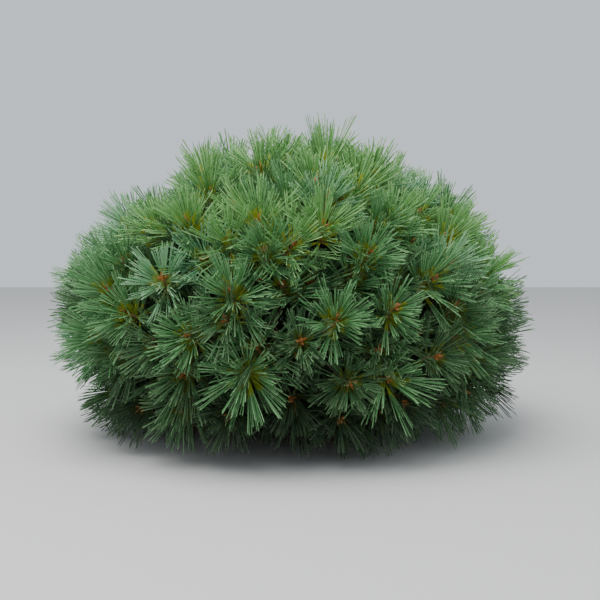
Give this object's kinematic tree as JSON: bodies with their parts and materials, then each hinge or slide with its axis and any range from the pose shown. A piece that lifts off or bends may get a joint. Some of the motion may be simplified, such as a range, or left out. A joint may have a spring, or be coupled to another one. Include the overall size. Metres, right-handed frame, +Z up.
{
  "type": "dwarf siberian pine shrub",
  "caption": "Low, dense, rounded shrub pine rooted in the ground: short flared trunk, whorls of rising boughs, and a dome of foliage masses of starry needle sprays.",
  "frame": {"origin": "middle of the flat cut under the trunk, at ground level", "axes": "+Z up from the level ground; -Y towards the side that the picture shows; +X to the right as seen from there"},
  "size_m": [0.7825, 0.7542, 0.5059],
  "materials": {
    "bark": "rough grey-brown bark",
    "needles": "satin green to blue-green needles"
  },
  "bodies": {
    "root": {"trunk": "bark", "bough_low_01": "bark", "bough_low_02": "bark", "bough_low_03": "bark", "bough_low_04": "bark", "bough_low_05": "bark", "bough_low_06": "bark", "bough_low_07": "bark", "bough_low_08": "bark", "bough_low_09": "bark", "bough_low_10": "bark", "bough_high_01": "bark", "bough_high_02": "bark", "bough_high_03": "bark", "bough_high_04": "bark", "bough_high_05": "bark", "bough_high_06": "bark", "foliage_low_01": "needles", "foliage_low_02": "needles", "foliage_low_03": "needles", "foliage_low_04": "needles", "foliage_low_05": "needles", "foliage_low_06": "needles", "foliage_low_07": "needles", "foliage_low_08": "needles", "foliage_low_09": "needles", "foliage_low_10": "needles", "foliage_high_01": "needles", "foliage_high_02": "needles", "foliage_high_03": "needles", "foliage_high_04": "needles", "foliage_high_05": "needles", "foliage_high_06": "needles", "foliage_top": "needles"}
  },
  "joints": []
}
